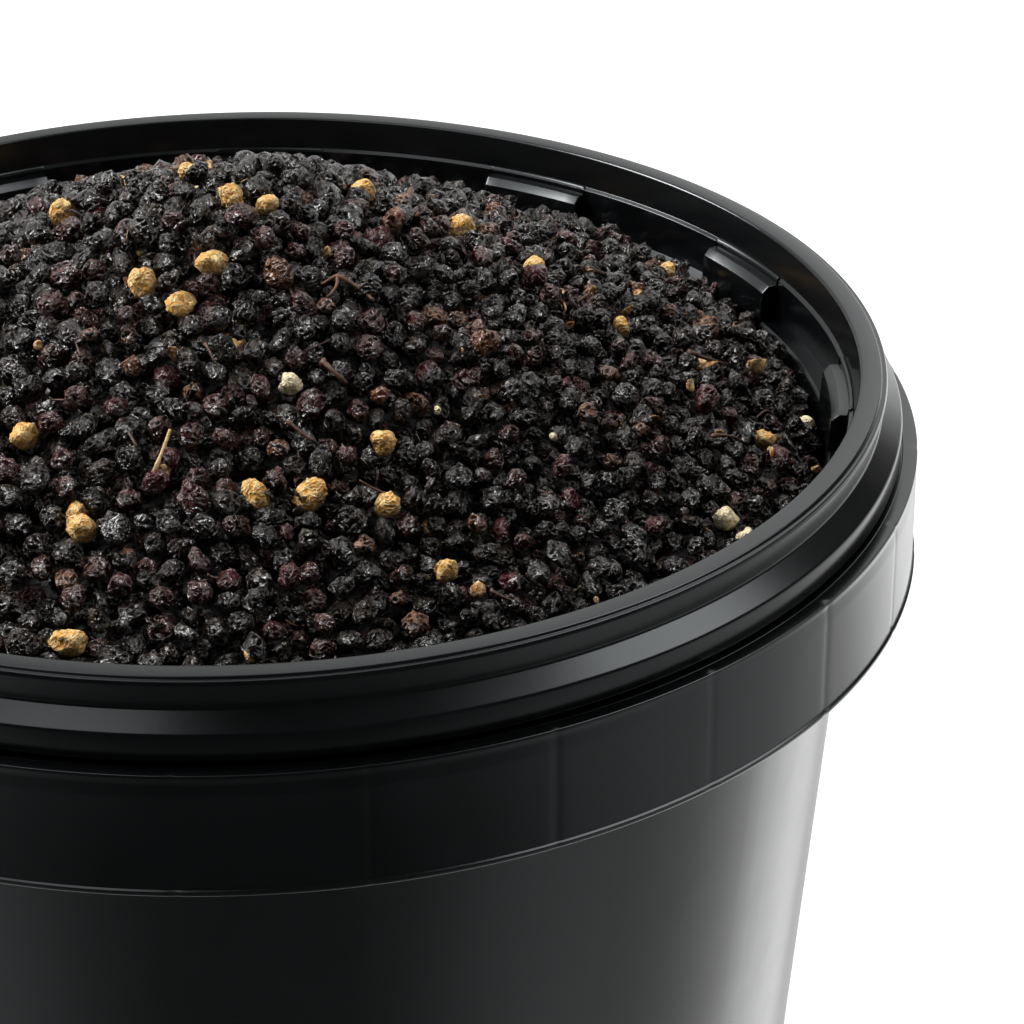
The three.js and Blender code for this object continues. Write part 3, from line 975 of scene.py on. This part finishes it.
class BerriesOperator(bpy.types.Operator):
    """Make the loose berries, in pieces for each kind."""

    bl_idname = "elderberry.berries"
    bl_label = "Loose berries"

    def execute(self, context):
        heap = settings()[1]
        places, radii, kinds, depth = sorted_berries()
        outer = depth < 2.6 * heap.berry
        draw = np.random.default_rng(SEED + 2)
        shade = draw.random(len(places))
        for number, (kind, finish) in enumerate(zip(KINDS, self.finishes(heap))):
            pale = kind in ("tan", "cream")
            shape = dict(zip(("cells", "sunk", "crushed"), (16, 0.22, 0.3) if pale else (14, 0.27, 0.42)))
            fine = dict(sides=24, bands=16) if pale else dict(sides=10, bands=7)
            on_top = np.nonzero((kinds == number) & outer)[0]
            lots = [(part, here, fine) for part, here in enumerate(
                np.array_split(on_top, 1 + len(on_top) // MOST_IN_PIECE), start=1)]
            lots.append(("under", np.nonzero((kinds == number) & ~outer)[0], dict(sides=7, bands=5)))
            for part, here, grid in lots:
                if len(here):
                    *form, scar = berry_forms(places[here], radii[here], draw, **grid, **shape)
                    piece = closed_mesh(f"elderberries_{kind}_{part}", *form,
                                        shade=shade[here, None], from_scar=scar)
                    finish_piece(piece, finish)
        return {"FINISHED"}

    def finishes(self, heap):
        """A skin for each kind of berry."""
        black, tan, cream = heap.black, heap.tan, heap.cream
        pale = dict(rough=0.55, shine=0.4, pit_shading=0.6, cell=0.75 * MM, relief=0.22 * MM, lean=0.9)
        # ridge colours are partly wear and partly a painted highlight on the crests, pit colours a painted
        # shade in the cells
        skins = {
            "black": dict(tones=[scaled(black, 0.6), "#0c0d0e", black, "#18100f", "#1a120b"],
                          stain="#28180d", ridge="#3a3229", pit_shade=scaled(black, 0.3), rough=0.2, stained=0.15),
            "maroon": dict(tones=["#170c0d", "#200f10", "#281213", heap.maroon],
                           stain="#140c0a", ridge="#60382f", pit_shade="#0a0505", rough=0.25, stained=0.4),
            "rusty": dict(tones=["#1c100c", "#2e1a11", heap.rust],
                          stain="#120b08", ridge="#94623e", pit_shade="#0e0705", rough=0.3, stained=0.4),
            "unripe": dict(tones=[scaled(tan, 0.85), tan, scaled(tan, 1.2)],
                           stain="#bf8038", ridge="#f6dda2", pit_shade="#8f5722", stained=0.3, **pale),
            "palest": dict(tones=[scaled(cream, 0.95), cream],
                           stain="#d6a866", ridge="#fdf3d6", pit_shade="#a97c4c", stained=0.2, **pale),
        }
        return [dried_skin(f"dried_elderberry_skin_{name}", **look) for name, look in skins.items()]


class LitterOperator(bpy.types.Operator):
    """Lay stalks and flakes of skin among the top berries."""

    bl_idname = "elderberry.litter"
    bl_label = "Stalks and flakes"

    def execute(self, context):
        _, heap, studio = settings()
        draw = np.random.default_rng(SEED + 3)
        ends = [seen_on_heap([(*end, wide) for end in (start, stop)], studio, under=0)
                for start, stop, wide in STALKS_AT]
        ends = np.array([pair for pair in ends if len(pair) == 2])
        loose = on_heap(LOOSE_STALKS, draw)
        reach = draw.uniform(1.5, 5, (LOOSE_STALKS, 1)) * MM
        starts = np.concatenate([ends[:, 0, :3], loose])
        stops = np.concatenate([ends[:, 1, :3], loose + tangent(loose, draw) * reach])
        radii = np.concatenate([ends[:, 0, 3], draw.uniform(0.15, 0.32, LOOSE_STALKS) * MM])
        # the first of the marked stalks is the straw coloured one
        shade = np.concatenate([[1.0], draw.uniform(0.2, 0.65, len(starts) - 1)])
        inside = np.hypot(*stops[:, :2].T) < heap.radius - 1 * MM
        form = stalk_forms(starts[inside], stops[inside], radii[inside], draw)
        stalks = closed_mesh("elderberry_stalks", *form, shade=shade[inside, None])
        finish_piece(stalks, dried_stalk())

        marked = seen_on_heap(FLAKES_AT, studio, under=0.2)
        pale = np.concatenate([marked[:, :3], on_heap(PALE_FLAKES, draw)])
        dark = on_heap(DARK_FLAKES, draw)
        pale_radii = np.concatenate([marked[:, 3], draw.uniform(0.7, 1.3, PALE_FLAKES) * MM])
        dark_radii = draw.uniform(0.9, 2.0, DARK_FLAKES) * MM
        # ridge colours are partly wear and partly a painted highlight on the crests, pit colours a painted
        # shade in the cells
        straw_skin = dried_skin("dried_flake_straw", ["#8a5a34", "#b98550", "#caa06a"], stain="#6b3f22",
                                ridge="#e3c490", pit_shade="#5f3a20", rough=0.55, shine=0.4, relief=0.1 * MM)
        dark_skin = dried_skin("dried_flake_dark", [scaled(heap.black, 0.8), heap.black, "#2a1512"],
                               stain="#24110f", ridge="#4a3c38", pit_shade=scaled(heap.black, 0.3), rough=0.25,
                               relief=0.2 * MM)
        for name, places, radii, finish in (
            ("pale", pale, pale_radii, straw_skin), ("dark", dark, dark_radii, dark_skin),
        ):
            *form, scar = berry_forms(
                places, radii, draw, sides=10, bands=6, cells=7, sunk=0.15, crushed=0.2,
                across=(0.6, 1.25), along=(0.1, 0.2), curl=0.35)
            flakes = closed_mesh(f"elderberry_flakes_{name}", *form, shade=draw.random((len(places), 1)),
                                 from_scar=np.maximum(scar, 1))
            finish_piece(flakes, finish)
        return {"FINISHED"}


class StudioOperator(bpy.types.Operator):
    """Set up the floor, the surroundings, the softboxes and the camera."""

    bl_idname = "elderberry.studio"
    bl_label = "Studio"

    def execute(self, context):
        studio = settings()[2]
        self.floor()
        self.surroundings()
        for name, azimuth, elevation, side, radiance in (
            ("softbox_left", 160, 42, 0.42, studio.key),
            ("softbox_left_spill", 176, 54, 0.95, studio.spill),
            ("softbox_right", 8, 52, 0.55, studio.fill),
            ("softbox_front", -130, 65, 0.3, studio.front),
        ):
            self.softbox(name, azimuth, elevation, side, radiance)
        self.camera(studio)
        context.scene.view_settings.view_transform = "Standard"
        context.scene.view_settings.look = "None"
        return {"FINISHED"}

    def floor(self):
        """A pale, plain floor that fades into the white round it."""
        reach = 2.5
        corners = [(-reach, -reach, 0), (reach, -reach, 0), (reach, reach, 0), (-reach, reach, 0)]
        floor = new_piece("floor", corners, [(0, 1, 2, 3)])
        material, add, shader, place = new_material("white_paper_floor")
        away = add("VectorMath LENGTH", (place,))
        connect(shader, {
            "Base Color": (0.85, 0.85, 0.85),
            "Roughness": 0.9,
            "Emission Strength": add("MapRange", (away, 0.3, 1.8, 0.35, 1), **SMOOTH),
        })
        floor.data.materials.append(material)
        floor.visible_glossy = False

    def surroundings(self):
        """White to the eye; what the plastic mirrors is a white table and backdrop behind the pail
        and a dark room in front of it."""
        world = bpy.data.worlds.new("studio")
        bpy.context.scene.world = world
        world.use_nodes = True
        world.node_tree.nodes.clear()
        add = functools.partial(add_node, world.node_tree)
        x, y, z = add("SeparateXYZ", (add("TexCoord").outputs["Generated"],)).outputs
        beside = add("Math ABSOLUTE", (x,))
        level = add("CombineXYZ", (beside, y))
        level = add("VectorMath NORMALIZE", (level,))

        # the table brightens from behind the camera to beside and behind the pail, less so close by;
        # its steps are how far round towards the right back, and the radiance far off and close by
        right_back = (0.643, 0.766, 0)
        steps = ((-0.5, 0.04, 0.09), (-0.18, 0.14, 0.2), (0.1, 0.39, 0.42), (0.37, 0.58, 0.5),
                 (0.61, 0.72, 0.46), (0.8, 0.94, 0.52), (0.94, 1.3, 0.85), (1.0, 1.9, 1.9))
        first, span, bright = -0.5, 1.5, 2.4
        toward = add("VectorMath DOT_PRODUCT", (level, right_back))
        share = add("Math MULTIPLY_ADD", (toward, 1 / span, -first / span))
        far, near = (
            with_stops(add("ValToRGB", (share,)), [
                ((step[0] - first) / span, (step[kind] / bright,) * 3) for step in steps])
            for kind in (1, 2))
        nearer = add("MapRange", (z, -0.45, -0.56), **SMOOTH)
        table = add("Mix", (nearer, far, near), **COLOURS)
        table = add("Math MULTIPLY", (table, bright))

        # the backdrop reaches further round on the left, and is brighter on the right
        left = add("Math MULTIPLY", (x, -0.25))
        left = add("Math MAXIMUM", (left, 0))
        behind = add("SeparateXYZ", (level,)).outputs["Y"]
        behind = add("Math ADD", (behind, left))
        backdrop = add("MapRange", (behind, 0.7, 0.93, 0.06, 1.15), **SMOOTH)
        aside = add("MapRange", (x, -0.12, 0.28, 0.6, 1.2), **SMOOTH)
        backdrop = add("Math MULTIPLY", (backdrop, aside))

        rise = add("MapRange", (z, -0.06, 0.12))
        mirrored = add("Mix", (rise, table, backdrop))
        seen = add("Mix", (add("LightPath").outputs["Is Camera Ray"], mirrored, 1))
        light = add("Background", {"Color": (1, 1, 1), "Strength": seen})
        add("OutputWorld", {"Surface": light})

    def softbox(self, name, azimuth, elevation, side, radiance):
        """A square area light of a given radiance: its power is radiance * pi * area."""
        distance = 0.95
        turn, rise = np.radians(azimuth), np.radians(elevation)
        out = Vector((np.cos(turn) * np.cos(rise), np.sin(turn) * np.cos(rise), np.sin(rise)))
        data = bpy.data.lights.new(name, "AREA")
        data.shape = "SQUARE"
        data.size = side
        data.energy = radiance * np.pi * side ** 2
        light = placed(name, data)
        light.location = Vector((0, 0, PAIL_HIGH.z)) + distance * out
        light.rotation_euler = out.to_track_quat("Z", "Y").to_euler()

    def camera(self, studio):
        """The camera that the settings describe."""
        place, right, up, forward = camera_axes(studio)
        data = bpy.data.cameras.new("camera")
        data.sensor_width = SENSOR
        data.lens = studio.lens
        data.clip_start, data.clip_end = 0.01, 20
        camera = placed("camera", data)
        turn = Matrix((right, up, -forward)).transposed().to_4x4()
        camera.matrix_world = Matrix.Translation(place) @ turn
        bpy.context.scene.camera = camera


class ElderberryPanel(bpy.types.Panel):
    """Lists the pieces and their settings."""

    bl_idname = "VIEW3D_PT_elderberry"
    bl_label = "Elderberries"
    bl_space_type = "VIEW_3D"
    bl_region_type = "UI"
    bl_category = "Elderberries"

    def draw(self, context):
        for name, (_, *operators) in PARTS.items():
            group = getattr(context.scene, name)
            box = self.layout.box()
            for key in group.bl_rna.properties.keys():
                if key not in ("rna_type", "name"):
                    box.prop(group, key)
            for operator in operators:
                box.operator(operator.bl_idname)


# the settings of each part, and the operators that make it
PARTS = {
    "elderberry_pail": (PailSettings, PailOperator),
    "elderberry_heap": (HeapSettings, FillOperator, BerriesOperator, LitterOperator),
    "elderberry_studio": (StudioSettings, StudioOperator),
}
CLASSES = (*(cls for part in PARTS.values() for cls in part), ElderberryPanel)


def register():
    for cls in CLASSES:
        bpy.utils.register_class(cls)
    for name, (group, *_) in PARTS.items():
        setattr(bpy.types.Scene, name, PointerProperty(type=group))


def unregister():
    for name in PARTS:
        delattr(bpy.types.Scene, name)
    for cls in reversed(CLASSES):
        bpy.utils.unregister_class(cls)


def main():
    register()
    bpy.ops.elderberry.pail()
    bpy.ops.elderberry.fill()
    bpy.ops.elderberry.berries()
    bpy.ops.elderberry.litter()
    bpy.ops.elderberry.studio()


if __name__ == "__main__":
    main()
